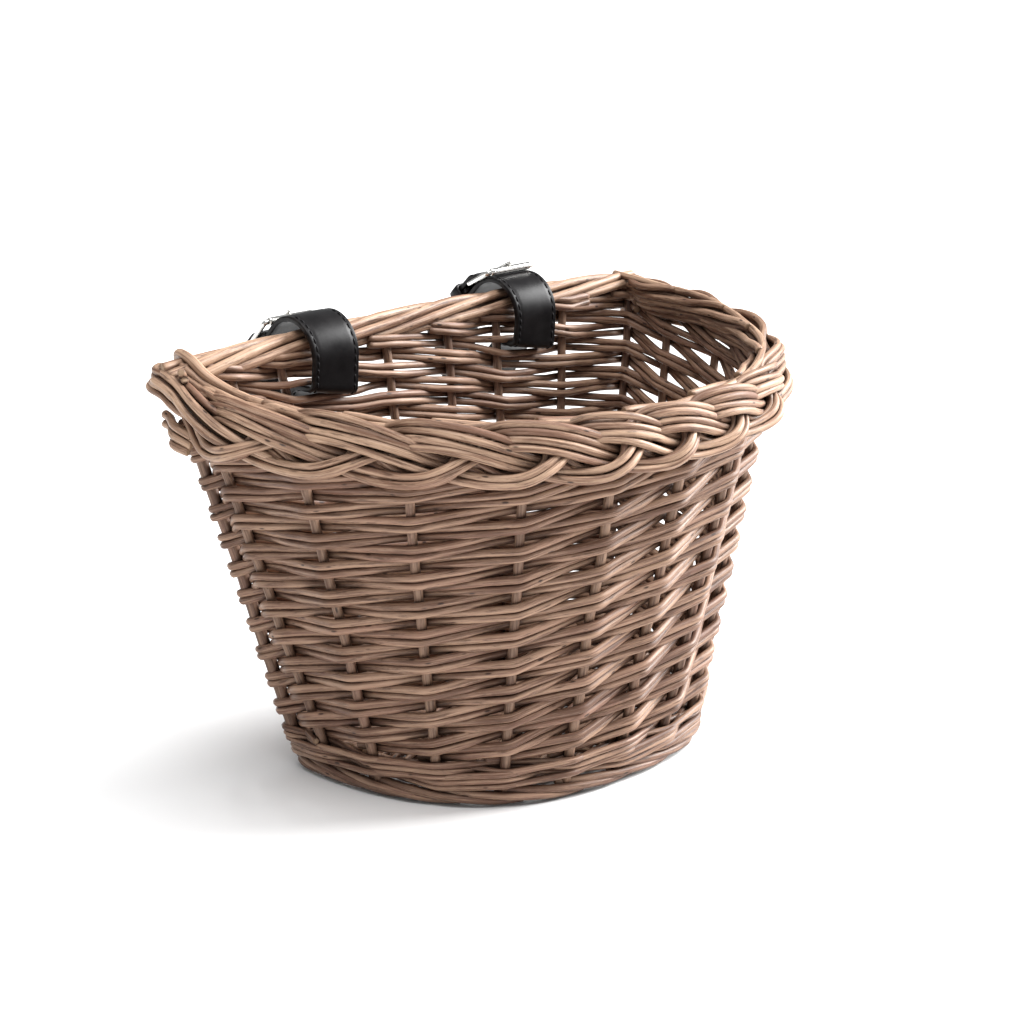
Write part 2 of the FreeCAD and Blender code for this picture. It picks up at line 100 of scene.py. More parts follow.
def unit(rows):
    """Rows, or one row, scaled to length 1."""
    return rows / np.linalg.norm(rows, axis=-1, keepdims=True)


def sideways(ways):
    """Level directions to the right of each of these."""
    return np.column_stack([ways[:, 1], -ways[:, 0], np.zeros(len(ways))])


def distances(line):
    """How far along a line each of its points is."""
    steps = np.linalg.norm(np.diff(line[:, :3], axis=0), axis=1)
    return np.concatenate([[0.0], np.cumsum(steps)])


def walk(line, places):
    """The rows of a line at given distances along it."""
    along = distances(line)
    return np.column_stack([np.interp(places, along, column) for column in line.T])


def even(line, step=STEP):
    """A line divided into even steps."""
    length = distances(line)[-1]
    return walk(line, np.linspace(0, length, max(6, int(length / step) + 1)))


def soften(line, reach, step=STEP):
    """A line with its corners rounded over a reach, and its ends kept."""
    line = even(line, step)
    half = min(int(3 * reach / step), len(line) - 2)
    weights = np.exp(-0.5 * (np.arange(-half, half + 1) * step / reach) ** 2)
    weights /= weights.sum()
    before = 2 * line[0] - line[half:0:-1]
    after = 2 * line[-1] - line[-2:-half - 2:-1]
    padded = np.vstack([before, line, after])
    return np.column_stack([np.convolve(column, weights, "valid") for column in padded.T])


def outline(height, grow=0.0):
    """The curved front of the wall at a height, from the left corner to the right."""
    half_width, depth, square = FOOT + (RIM - FOOT) * height / RIM_HEIGHT
    back = BACK_LINE + RIM_LEAN * height / RIM_HEIGHT + grow
    angle = np.linspace(0, np.pi, 241)
    across = np.sign(np.cos(angle)) * np.abs(np.cos(angle)) ** (2 / square)
    reach = np.abs(np.sin(angle)) ** (2 / square)
    return np.column_stack([-(half_width + grow) * across,
                            back - (depth + 2 * grow) * reach,
                            np.full(len(angle), height)])


# ---- rods as meshes

def grid_faces(rings, around, closed=False):
    """Quads between rings of points; closed joins the last ring to the first."""
    row, corner = np.arange(rings if closed else rings - 1)[:, None], np.arange(around)
    here, there, following = row * around, (row + 1) % rings * around, (corner + 1) % around
    quads = [here + corner, here + following, there + following, there + corner]
    return np.stack(quads, axis=-1).reshape(-1, 4)


# The two rings of a cut end, from the tip: share of the end's size, push past it, and cut value.
CUT_RINGS = ((0.55, 0.14, 1.0), (1.0, 0.1, 0.6))
KNOT_HALF = 2.4 * MM


def tube(line, radius, random, sides=10, ends=(0.82, 0.82), knots=0.07):
    """A willow rod round a line: rings, slanted cut ends, and values for its material."""
    count = len(line)
    along = distances(line)
    radius = np.broadcast_to(radius, count) * (1 + wander(random, along, 30 * MM, 0.02))
    place = random.uniform(5 * MM, 70 * MM)
    while place < along[-1]:
        radius = radius * (1 + knots * np.exp(-((along - place) / KNOT_HALF) ** 2))
        place += random.uniform(45 * MM, 120 * MM)
    ways = unit(np.gradient(line, axis=0))
    side = np.cross(ways[0], UP if abs(ways[0][2]) < 0.9 else np.array([1.0, 0.0, 0.0]))
    sides_out = []
    for way in ways:
        side = unit(side - way * side.dot(way))
        sides_out.append(side)
    across = np.array(sides_out)
    over = np.cross(ways, across)
    turn = np.arange(sides) * 2 * np.pi / sides
    cosine, sine = np.cos(turn), np.sin(turn)

    def ring(index, size, shift, slant):
        spread = size * (np.outer(cosine, across[index]) + np.outer(sine, over[index]))
        push = shift + slant * size * cosine
        return line[index] + spread + np.outer(push, ways[index])

    slants = random.uniform(-0.6, 0.6, 2)
    rings, grain, cut = [], [], []
    start = random.uniform(0, 5)

    def add(points, place, size, flag):
        rings.append(points)
        grain.append(np.column_stack([np.full(sides, start + place), size * cosine, size * sine]))
        cut.extend([flag] * sides)

    def cut_ring(index, share, push, flag):
        size, end = radius[index], ends[index]
        push = (push if index else -push) * size
        add(ring(index, size * end * share, push, slants[index]), along[index], size, flag)

    for values in CUT_RINGS:
        cut_ring(0, *values)
    for index in range(count):
        add(ring(index, radius[index], 0.0, 0.0), along[index], radius[index], 0.0)
    for values in reversed(CUT_RINGS):
        cut_ring(-1, *values)

    total = len(rings)
    caps = [list(range(sides - 1, -1, -1)), list(range((total - 1) * sides, total * sides))]
    return {"points": np.vstack(rings), "faces": grid_faces(total, sides).tolist() + caps,
            "grain": np.vstack(grain), "cut": np.array(cut),
            "tone": np.full(total * sides, random.uniform(0, 1))}


def new_mesh(name, points, faces, **values):
    """A mesh with smooth sides and flat caps, and with values kept at its points."""
    mesh = bpy.data.meshes.new(name)
    mesh.from_pydata(points.tolist(), [], faces)
    mesh.polygons.foreach_set("use_smooth", [len(face) == 4 for face in faces])
    for key, data in values.items():
        kind, field = ("FLOAT_VECTOR", "vector") if data.ndim == 2 else ("FLOAT", "value")
        mesh.attributes.new(key, kind, "POINT").data.foreach_set(field, data.ravel())
    mesh.update()
    return mesh


def as_mesh(name, parts):
    """One mesh of several tubes, with their values for the material."""
    faces, base = [], 0
    for part in parts:
        faces += [[base + corner for corner in face] for face in part["faces"]]
        base += len(part["points"])
    points, grain, tone, cut = (np.concatenate([part[key] for part in parts])
                                for key in ("points", "grain", "tone", "cut"))
    return new_mesh(name, points, faces, grain=grain, tone=tone, cut=cut)


def in_scene(name, data):
    """A new object of the scene."""
    thing = bpy.data.objects.new(name, data)
    bpy.context.scene.collection.objects.link(thing)
    return thing


def piece(name, mesh, material, body, nodes):
    """Puts a mesh in the scene as a piece that stands for CAD nodes."""
    thing = in_scene(name, mesh)
    mesh.materials.append(material)
    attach(thing, body)
    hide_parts(*nodes)
    return thing


def willow_piece(name, parts, slot, *nodes):
    """A piece of willow rods."""
    return piece(name, as_mesh(name, parts), WILLOW[slot], "basket", nodes)


# ---- materials

class Graph:
    """A material under construction: each call adds a node and links or sets its inputs."""

    def __init__(self, name):
        self.material = bpy.data.materials.new(name)
        self.material.use_nodes = True
        self.tree = self.material.node_tree
        self.shader = self.tree.nodes["Principled BSDF"]

    def set(self, node, inputs):
        for key, value in inputs.items():
            socket = node.inputs[key]
            if isinstance(value, bpy.types.NodeSocket):
                self.tree.links.new(value, socket)
            else:
                socket.default_value = value

    def add(self, kind, inputs=None, **properties):
        node = self.tree.nodes.new("ShaderNode" + kind)
        for key, value in properties.items():
            setattr(node, key, value)
        self.set(node, inputs or {})
        return node

    def value(self, name):
        """A value kept on the mesh."""
        return self.add("Attribute", attribute_name=name).outputs["Fac"]

    def grain(self, *scale):
        """The rod's own coordinates, scaled along it and across it."""
        source = self.add("Attribute", attribute_name="grain").outputs["Vector"]
        return self.add("Mapping", {"Vector": source, "Scale": scale}).outputs["Vector"]

    def noise(self, vector, scale=1.0, detail=3.0, rough=0.6):
        return self.add("TexNoise", {"Vector": vector, "Scale": scale, "Detail": detail,
                                     "Roughness": rough}).outputs["Fac"]

    def math(self, operation, first, second=0.0, clamp=False):
        node = self.add("Math", {0: first, 1: second}, operation=operation, use_clamp=clamp)
        return node.outputs[0]

    def span(self, value, low, high, out_low=0.0, out_high=1.0):
        """A value carried from one range to another, held at its ends."""
        return self.add("MapRange", {"Value": value, "From Min": low, "From Max": high,
                                     "To Min": out_low, "To Max": out_high}).outputs["Result"]

    def blend(self, share, first, second, kind="MIX"):
        node = self.add("Mix", data_type="RGBA", blend_type=kind)
        for key, value in ((0, share), (6, first), (7, second)):
            if isinstance(value, bpy.types.NodeSocket):
                self.tree.links.new(value, node.inputs[key])
            else:
                node.inputs[key].default_value = value
        return node.outputs[2]

    def bump(self, height, strength, distance, normal=None):
        inputs = {"Height": height, "Strength": strength, "Distance": distance}
        if normal is not None:
            inputs["Normal"] = normal
        return self.add("Bump", inputs).outputs["Normal"]


def rgb(red, green, blue):
    return (red, green, blue, 1.0)


def make_willow(name, pale, deep):
    """Peeled willow: streaks along the rod, blotches, knots, dark specks, pale cut ends and painted
    shade in crevices.
    """
    g = Graph(name)
    streaks = g.noise(g.grain(30, 900, 900), detail=5.0, rough=0.75)
    blotches = g.noise(g.grain(22, 130, 130), detail=2.0)
    fine = g.noise(g.grain(240, 2600, 2600), detail=2.0)
    tone = g.span(g.value("tone"), 0, 1, -0.30, 0.30)
    share = g.math("ADD", g.span(streaks, 0.40, 0.60, 0.0, 1.0), tone)
    share = g.math("ADD", share, g.span(blotches, 0.3, 0.7, -0.3, 0.3), clamp=True)
    colour = g.blend(share, deep, pale)
    pink = g.span(g.noise(g.grain(14, 90, 90), detail=1.0), 0.5, 0.75, 0.0, 0.35)
    colour = g.blend(pink, colour, rgb(0.30, 0.150, 0.105))
    worn = g.span(g.noise(g.grain(70, 600, 600), detail=5.0, rough=0.7), 0.54, 0.66, 0.0, 0.8)
    colour = g.blend(worn, colour, rgb(0.065, 0.030, 0.016))
    cells = g.add("TexVoronoi", {"Vector": g.grain(130, 420, 420), "Scale": 1.0})
    chosen = g.math("GREATER_THAN", g.add("SeparateColor", {
        "Color": cells.outputs["Color"]}).outputs["Red"], 0.84)
    speck = g.math("MULTIPLY", chosen, g.span(cells.outputs["Distance"], 0.14, 0.26, 0.95, 0.0))
    colour = g.blend(speck, colour, rgb(0.030, 0.013, 0.007))
    colour = g.blend(g.value("cut"), colour, rgb(0.28, 0.18, 0.11))
    # Painted shade: an ambient occlusion test darkens the colour towards deep brown in crevices and
    # where rods touch.
    crevice_painted_shade = g.add("AmbientOcclusion", {"Distance": 5 * MM}, samples=6).outputs["AO"]
    colour = g.blend(g.span(crevice_painted_shade, 0.25, 0.85, 0.75, 0.0), colour, rgb(0.045, 0.020, 0.012))
    rough = g.span(streaks, 0.3, 0.7, 0.60, 0.42)
    normal = g.bump(g.math("ADD", streaks, g.math("MULTIPLY", fine, 0.35)), 0.5, 0.25 * MM)
    g.set(g.shader, {"Base Color": colour, "Roughness": rough, "Normal": normal,
                     "Specular IOR Level": 0.4})
    return g.material


def make_leather():
    """Smooth black leather: satin, with fine pores and soft wear along the edges."""
    g = Graph("strap_leather")
    source = g.add("TexCoord").outputs["Object"]
    pores = g.add("TexVoronoi", {"Vector": source, "Scale": 1500.0}).outputs["Distance"]
    clouds = g.noise(source, 90.0)
    worn = g.math("MULTIPLY", g.value("wear"), g.span(g.noise(source, 260.0), 0.4, 0.7))
    colour = g.blend(g.span(clouds, 0.3, 0.7), rgb(0.0035, 0.0031, 0.0035),
                     rgb(0.008, 0.007, 0.0075))
    colour = g.blend(worn, colour, rgb(0.022, 0.019, 0.018))
    normal = g.bump(pores, 0.10, 0.08 * MM)
    normal = g.bump(clouds, 0.25, 0.35 * MM, normal)
    g.set(g.shader, {"Base Color": colour, "Normal": normal,
                     "Roughness": g.span(clouds, 0.3, 0.7, 0.30, 0.42),
                     "Specular IOR Level": 0.13})
    return g.material


def make_thread():
    """Waxed black thread, twisted."""
    g = Graph("seam_thread")
    source = g.add("TexCoord").outputs["Object"]
    twist = g.add("TexWave", {"Vector": source, "Scale": 900.0, "Distortion": 1.0},
                  bands_direction="DIAGONAL").outputs["Fac"]
    colour = g.blend(twist, rgb(0.004, 0.004, 0.005), rgb(0.014, 0.013, 0.014))
    g.set(g.shader, {"Base Color": colour, "Roughness": 0.55, "Specular IOR Level": 0.12,
                     "Normal": g.bump(twist, 0.4, 0.1 * MM)})
    return g.material


def make_nickel():
    """Polished nickel plate with faint haze and scratches."""
    g = Graph("buckle_nickel")
    source = g.add("TexCoord").outputs["Object"]
    haze = g.noise(source, 220.0, 4.0)
    scratches = g.add("Mapping", {"Vector": source, "Scale": (60, 2400, 2400)}).outputs["Vector"]
    lines = g.noise(scratches, 1.0, 2.0)
    colour = g.blend(g.span(haze, 0.35, 0.7), rgb(0.83, 0.82, 0.79), rgb(0.66, 0.64, 0.60))
    g.set(g.shader, {"Base Color": colour, "Metallic": 1.0,
                     "Roughness": g.span(haze, 0.3, 0.7, 0.10, 0.24),
                     "Normal": g.bump(lines, 0.06, 0.05 * MM)})
    return g.material


WILLOW = {
    "weave_willow": make_willow("weave_willow", rgb(0.36, 0.222, 0.147), rgb(0.12, 0.058, 0.035)),
    "stake_willow": make_willow("stake_willow", rgb(0.28, 0.172, 0.112), rgb(0.11, 0.056, 0.034)),
    "border_willow": make_willow("border_willow", rgb(0.46, 0.30, 0.20),
                                 rgb(0.16, 0.080, 0.047)),
}
LEATHER = make_leather()
THREAD = make_thread()
NICKEL = make_nickel()


# ---- stakes

def stake_ends(node):
    """The middles of a stake's lower and upper ends, from its CAD node."""
    points = np.array([vertex.co for vertex in frame["nodes"][node].data.vertices])
    upper = points[:, 2] > points[:, 2].mean()
    return points[~upper].mean(axis=0), points[upper].mean(axis=0)


STAKES = [stake_ends(node) for node in RING]


def stake_at(number, height):
    """A point of a stake's middle line, counted round the ring."""
    low, high = STAKES[number % len(RING)]
    return low + (high - low) * (height - low[2]) / (high[2] - low[2])


def on_back(number):
    """Whether a stake stands in the back or in a back corner."""
    return number == 0 or number >= RIGHT_CORNER


STAKE_BOTTOM = 6 * MM
FRONT_TOP = 167 * MM
BACK_TOP = 186 * MM
STAKE_TAPER = (2.35 * MM, 2.1 * MM)
CORNER_SIZE = 1.25
# The front stake past which the border rises, and how much higher each stake after it ends.
RISE_FROM = 6
STAKE_RISE = 1 * MM


def make_stakes():
    """Slightly crooked willow stakes from the foot border up into the borders."""
    for number, node in enumerate(RING):
        random = seeded(node)
        top = BACK_TOP if on_back(number) else FRONT_TOP + max(0, number - RISE_FROM) * STAKE_RISE
        line = even(np.array([stake_at(number, STAKE_BOTTOM), stake_at(number, top)]), 4 * MM)
        along = distances(line)
        line[:, 0] += wander(random, along, 70 * MM, 0.35 * MM)
        line[:, 1] += wander(random, along, 70 * MM, 0.25 * MM)
        radius = np.linspace(*STAKE_TAPER, len(line)) * (CORNER_SIZE if number == 0 else 1)
        willow_piece("stake_" + node, [tube(line, radius, random, 12)], "stake_willow", node)


# ---- the randed wall

RAND_LOW = 23.2 * MM
RAND_PITCH = 6.725 * MM
RAND_RADIUS = 1.82 * MM
RAND_REACH = STAKE_RADIUS + RAND_RADIUS + 0.1 * MM
RAND_KINK = 1.7 * MM
RAND_TAPER = (1.95 * MM, 1.72 * MM)
RAND_TUCK = 2.5 * MM
RAND_END = 13 * MM
FRONT_COURSES = 21
BACK_COURSES = 24

# Where the straps pass through the back wall: (place along it, height).  The rods part there, by
# this push, up to this far to each side, and less with each rod above or below.
STRAP_PASSES = ((-STRAP_PLACE, 168.6 * MM), (STRAP_PLACE, 169.6 * MM))
STRAP_PUSH = 2.1 * MM
STRAP_PART = 34 * MM
BACK_WALL_FROM = 12 * MM


def outward(start, end):
    """The level direction to the outside of the wall between two points in ring order."""
    way = end - start
    return unit(np.array([way[1], -way[0], 0.0]))


def contact(number, height, reach):
    """Rows (point, stake direction) where a rod passes a stake at a reach to the outside."""
    here = stake_at(number, height)
    before = outward(stake_at(number - 1, height), here)
    after = outward(here, stake_at(number + 1, height))
    middle = unit(before + after)
    low, high = STAKES[number % len(RING)]
    rise = unit(high - low)
    ways = [unit(before + middle), middle, unit(middle + after)] if reach > 0 else [middle]
    return [np.concatenate([here + reach * way, rise]) for way in ways]


def strap_room(line):
    """Rods of the back wall parted above and below the straps that pass through it."""
    line = line.copy()
    behind = line[:, 1] - BACK_LINE
    ease, fade = 20 * MM, 24 * MM
    for place, level in STRAP_PASSES:
        across = line[:, 0] - place
        gap = line[:, 2] - level + TWIST * across
        off = np.abs(across)
        near = (off < STRAP_PART) & (behind > BACK_WALL_FROM) & (np.abs(gap) < STRAP_PART)
        if not near.any():
            continue
        nearest = gap[near][np.argmin(off[near])]
        push = STRAP_PUSH * np.exp(-abs(nearest) / fade) * math.copysign(1, nearest)
        line[:, 2] += smooth_step((STRAP_PART - off) / ease) * near * push
    return line


# Pairs that start higher up at the right back corner, where the back wall is higher: (stake, course).
RAND_STARTS = [(number, 0) for number in range(len(RING))] + [
    (RIGHT_CORNER, BACK_COURSES - 1), (RIGHT_CORNER, BACK_COURSES), (RIGHT_CORNER + 1, BACK_COURSES)]


def top_course(number):
    """The highest course at a stake: the border rises towards the right back corner."""
    return BACK_COURSES if on_back(number) else FRONT_COURSES + max(0, (number - RISE_FROM) // 2)


def rand_rows(first, lowest):
    """The middle line of one pair, which starts behind a stake and climbs a course at each."""
    height = RAND_LOW + RAND_PITCH * lowest
    before = stake_at(first - 1, height)
    here = stake_at(first, height)
    start = here + 0.3 * (before - here) - RAND_TUCK * outward(before, here)
    rows = [np.concatenate([start, UP])]
    length = 0.0
    for course in range(lowest, BACK_COURSES + 2):
        number = (first + course - lowest) % len(RING)
        side = 1 if course % 2 else -1
        rows += contact(number, RAND_LOW + RAND_PITCH * course, side * RAND_REACH)
        if course > top_course(number):
            break
        length = distances(np.array(rows))[-1]
    return walk(np.array(rows), np.arange(0, length + RAND_END, STEP / 2))


def make_randing():
    """Pairs of thin rods in French randing, one starting at each stake."""
    for index, (first, lowest) in enumerate(RAND_STARTS, start=1):
        name = "rand_pair_%02d" % index
        random = seeded(name)
        rows = soften(rand_rows(first, lowest), RAND_KINK, 2.0 * MM)
        line, rise = rows[:, :3], unit(rows[:, 3:])
        along = distances(line)
        away = unit(np.cross(np.gradient(line, axis=0), rise))
        taper = np.linspace(*RAND_TAPER, len(line))
        parts = []
        for side in (-1, 1):
            lift = side * taper * 0.98 + wander(random, along, 60 * MM, 0.3 * MM)
            lean = wander(random, along, 45 * MM, 0.22 * MM)
            rod = line + lift[:, None] * rise + lean[:, None] * away
            parts.append(tube(strap_room(rod), taper, random))
        willow_piece(name, parts, "weave_willow", "side_weave")


# ---- wale, foot and floor

WALE_LOW = 9.6 * MM
WALE_CLIMB = 4.0 * MM
WALE_ROUNDS = 2.8
WALE_RADIUS = 1.5 * MM
WALE_APART = 6


def make_wale():
    """Three rods that each pass outside two stakes and inside one, and climb as they go round."""
    steps = int(WALE_ROUNDS * len(RING))
    reach = STAKE_RADIUS + WALE_RADIUS
    lift, proud = 1.1 * MM, 1.4 * MM
    passes = [(-lift, reach), (lift, reach + proud), (0.0, -reach)]
    for rod in range(3):
        name = "wale_rod_%d" % (rod + 1)
        random = seeded(name)
        rows = []
        for step in range(steps):
            height = WALE_LOW + WALE_CLIMB * step / len(RING)
            rise, out = passes[(step - rod) % 3]
            rows += contact(step + rod * WALE_APART, height + rise, out)
        rows = soften(np.array(rows), 3.2 * MM)
        along = distances(rows)
        rows[:, 2] += wander(random, along, 50 * MM, 0.2 * MM)
        willow_piece(name, [tube(rows[:, :3], WALE_RADIUS, random)], "weave_willow", "upset_wale")


FOOT_RADIUS = 2.1 * MM
FOOT_STROKE = 72 * MM
FOOT_LEAD = 4 * MM
# A foot rod's height, and its reach outside the wall: (share of its length, millimetres).
FOOT_HEIGHTS = ((0, 7.3), (0.25, 6.6), (0.55, 4.6), (0.8, 2.8), (1, 2.3))
FOOT_REACHES = ((0, -1.5), (0.2, 1.4), (0.5, 2.8), (0.8, 2.2), (1, -0.6))


def course(share, points):
    """A length in metres at each share of a rod, from (share, millimetres) points."""
    shares, lengths = np.array(points).T
    return np.interp(share, shares, lengths * MM)


def make_foot():
    """The rolled foot: each rod comes from under the wale and runs down and outwards."""
    front = outline(FOOT_TOP)
    path = even(np.vstack([front, front[:1]]), 2 * MM)
    total = distances(path)[-1]
    ring = np.vstack([path[:-1], path, path[1:]])
    for number, (low, _) in enumerate(STAKES):
        name = "foot_rod_%02d" % (number + 1)
        random = seeded(name)
        nearest = np.argmin(np.linalg.norm(path - low, axis=1))
        start = distances(path)[nearest]
        share = np.linspace(0, 1, 30)
        rows = walk(ring, total + start + share * FOOT_STROKE - FOOT_LEAD)
        out = sideways(unit(np.gradient(rows, axis=0)))
        rows = rows + out * course(share, FOOT_REACHES)[:, None]
        rows[:, 2] = course(share, FOOT_HEIGHTS)
        line = soften(rows, 5 * MM)
        radius = np.linspace(FOOT_RADIUS, FOOT_RADIUS * 0.8, len(line))
        line[:, 2] = np.maximum(line[:, 2], radius * 1.09)
        willow_piece(name, [tube(line, radius, random)], "weave_willow", "foot_border")


STICKS = 7
STICK_HEIGHT = 13 * MM
STICK_PITCH = 24 * MM
STICK_RADIUS = 2.5 * MM
STICK_TUCK = 2 * MM
FLOOR_INSET = 5.5 * MM
FLOOR_RADIUS = 1.55 * MM
FLOOR_PITCH = 3.35 * MM
FLOOR_WAVE = 4.0 * MM


def make_floor():
    """Base sticks from back to front, and rods woven over and under them."""
    for number in range(1, STICKS + 1):
        node = "base_stick_%d" % number
        random = seeded(node)
        low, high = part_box(node)
        x = (low.x + high.x) / 2
        line = even(np.array([[x, low.y - STICK_TUCK, STICK_HEIGHT],
                              [x, high.y + STICK_TUCK, STICK_HEIGHT]]), 4 * MM)
        line[:, 0] += wander(random, distances(line), 60 * MM, 0.3 * MM)
        willow_piece("stick_" + node, [tube(line, STICK_RADIUS, random, 12)], "stake_willow", node)
    edge = outline(STICK_HEIGHT, -FLOOR_INSET)
    front, back = edge[:, 1].min(), edge[:, 1].max()
    half = len(edge) // 2
    count = int((back - front) / FLOOR_PITCH)
    for group in range(3):
        name = "floor_rods_%d" % (group + 1)
        random = seeded(name)
        parts = []
        for row in range(group, count, 3):
            y = front + (row + 0.7) * FLOOR_PITCH
            reach = np.interp(-y, -edge[:half, 1], -edge[:half, 0])
            places = np.linspace(-reach, reach, max(12, int(2 * reach / STEP)))
            wave = np.cos(np.pi * places / STICK_PITCH + np.pi * row)
            line = np.column_stack([places, y + wander(random, places, 60 * MM, 0.3 * MM),
                                    STICK_HEIGHT + FLOOR_WAVE * wave])
            parts.append(tube(line, FLOOR_RADIUS, random, 8))
        willow_piece(name, parts, "weave_willow", "floor_weave")


# ---- the plaited front border

PLAIT_HEIGHT = 172.0 * MM
PLAIT_OUT = 9.0 * MM
PLAIT_TILT = math.radians(20)
PLAIT_CORNER = 13 * MM
PLAIT_LEAD = 8 * MM
PLAIT_STROKE = 37.5 * MM
PLAIT_FIRST = 37.7 * MM
PLAIT_SWING = 8.0 * MM
PLAIT_DEPTH = 3.4 * MM
PLAIT_CLIMB = 0.32
PLAIT_ROD = 1.62 * MM
PLAIT_WRAP = 24 * MM
PLAIT_WRAP_RIGHT = 17 * MM
PLAIT_GATHER = 30 * MM
PLAIT_RISE = 11 * MM
PLAIT_RISE_REACH = 300 * MM
PLAIT_CALM = 0.6
PLAIT_UNEVEN = 11 * MM
PLAIT_RANKS = (-1.5, -0.5, 0.5, 1.5)
# Where the strands gather at each corner: their height, and how far apart they lie in depth.
GATHER_LEFT = 11.5 * MM
GATHER_RIGHT = 3 * MM
GATHER_STACK = 3.2 * MM
GATHER_EASE = PLAIT_GATHER + 6 * MM
LOOP_MIDDLE = math.radians(30)
LOOP_REACH = math.radians(75)
LOOP_STACK = 3.0 * MM


def plait_length():
    """The length of the wall's front under the plait, which places along it are measured on."""
    return distances(outline(PLAIT_HEIGHT))[-1]


def plait_middle(places):
    """The plait's middle line: outside the wall's front, and round each corner to the back."""
    path = outline(PLAIT_HEIGHT)
    ways = unit(np.gradient(path, axis=0))
    path = path + PLAIT_OUT * sideways(ways)
    share = np.clip(places / plait_length(), 0, 1)
    along = distances(outline(PLAIT_HEIGHT))
    rows = np.column_stack([np.interp(share * along[-1], along, column) for column in path.T])
    past = np.maximum(-places, places - plait_length())
    angle = np.clip((past - PLAIT_LEAD) / PLAIT_CORNER, 0, np.pi / 2)
    straight = np.clip(past - PLAIT_LEAD - PLAIT_CORNER * np.pi / 2, 0, None)
    inward = np.where(places < 0, 1.0, -1.0)
    rows[:, 0] += inward * (PLAIT_CORNER * (1 - np.cos(angle)) + straight)
    rows[:, 1] += np.clip(past, 0, PLAIT_LEAD) + PLAIT_CORNER * np.sin(angle)
    return rows


def plait_frame(places):
    """Points along the plait's middle, and its directions along, up and out of the band."""
    middle = plait_middle(places)
    small = 0.5 * MM
    ways = unit(plait_middle(places + small) - plait_middle(places - small))
    level = sideways(ways)
    rise = math.cos(PLAIT_TILT) * UP - math.sin(PLAIT_TILT) * level
    out = math.cos(PLAIT_TILT) * level + math.sin(PLAIT_TILT) * UP
    return middle, ways, rise, out


def plait_line(places, lift, proud, reach=2.5 * MM):
    """A smooth line at a height and a depth of the plait's band, given along its length."""
    middle, _, rise, out = plait_frame(places)
    return soften(middle + rise * lift[:, None] + out * proud[:, None], reach)


def plait_count(places):
    """How many strokes have begun at a place: they are uneven, as a hand makes them."""
    uneven = PLAIT_UNEVEN * np.sin(2 * np.pi * (places - 60 * MM) / (330 * MM))
    return (places - PLAIT_FIRST - uneven) / PLAIT_STROKE


def plait_turn(places, strand):
    """A strand's turn: 0 at its lowest, half at its highest; it climbs faster than it falls."""
    cycle = (plait_count(places) - strand) / 3 % 1
    climbing = np.pi * cycle / PLAIT_CLIMB
    falling = np.pi * (1 + (cycle - PLAIT_CLIMB) / (1 - PLAIT_CLIMB))
    return np.where(cycle < PLAIT_CLIMB, climbing, falling)


def plait_rear(places):
    """How far a place is along the plait's rise to the right back corner, from 0 to 1."""
    return smooth_step((places - plait_length() + PLAIT_RISE_REACH) / PLAIT_RISE_REACH)


def make_plait():
    """Three strands of four rods, plaited round the front and gathered at both corners."""
    length = plait_length()
    places = np.linspace(-PLAIT_WRAP, length + PLAIT_WRAP_RIGHT, 300)
    corner = smooth_step((PLAIT_GATHER - places) / GATHER_EASE)
    corner = corner + smooth_step((places - length + PLAIT_GATHER) / GATHER_EASE)
    rear = plait_rear(places)
    swing = PLAIT_SWING * (1 - PLAIT_CALM * rear)
    gathered = np.where(places < length / 2, GATHER_LEFT, GATHER_RIGHT)
    for strand in range(3):
        name = "plait_strand_%d" % (strand + 1)
        random = seeded(name)
        turn = plait_turn(places, strand)
        height = -swing * np.cos(turn) * (1 - corner) + gathered * corner + PLAIT_RISE * rear
        depth = PLAIT_DEPTH * np.sin(2 * turn) * (1 - corner) + (strand - 1) * GATHER_STACK * corner
        slope = np.gradient(height, places)
        scale = np.sqrt(1 + slope ** 2)
        off = np.abs((turn - LOOP_MIDDLE + np.pi) % (2 * np.pi) - np.pi)
        bunch = smooth_step(1.6 * (1 - off / LOOP_REACH)) * (1 - corner)
        parts = []
        for rank in PLAIT_RANKS:
            behind = rank > 0
            row = rank - 2 * bunch * behind
            offset = row * 2.1 * PLAIT_ROD * (1 - 0.2 * corner)
            offset = offset + wander(random, places, 80 * MM, 0.5 * MM)
            proud = depth - LOOP_STACK * bunch * behind + wander(random, places, 60 * MM, 0.6 * MM)
            lift = height + offset / scale
            line = plait_line(places - slope / scale * offset, lift, proud)
            size = PLAIT_ROD * random.uniform(0.92, 1.12)
            parts.append(tube(line, size, random, 12))
        willow_piece(name, parts, "border_willow", "front_border")


# The core rods' (height, depth) in the plait, in millimetres.
CORE_RODS = ((-8, -4.5), (-4, -4.9), (0, -5.2), (4, -5.2), (8, -5.0), (11.3, -3.6))
CORE_RADIUS = 1.8 * MM
CORE_START = 12 * MM
CORE_WRAP = 8 * MM


def make_plait_core():
    """The rods inside the plait, which fill it behind the strands and edge its inner side."""
    places = np.linspace(CORE_START, plait_length() + CORE_WRAP, 220)
    rear = plait_rear(places)
    random = seeded("plait_core")
    parts = []
    for lift, proud in CORE_RODS:
        height = lift * MM + PLAIT_RISE * rear + wander(random, places, 90 * MM, 0.6 * MM)
        depth = proud * MM + wander(random, places, 70 * MM, 0.4 * MM)
        parts.append(tube(plait_line(places, height, depth, 3 * MM), CORE_RADIUS, random))
    willow_piece("plait_core", parts, "border_willow", "front_border")


LINING_STROKE = 118 * MM
LINING_STEP = 40 * MM
LINING_ROD = 1.75 * MM
LINING_TOP = 10.5 * MM
LINING_TUCK = 14 * MM


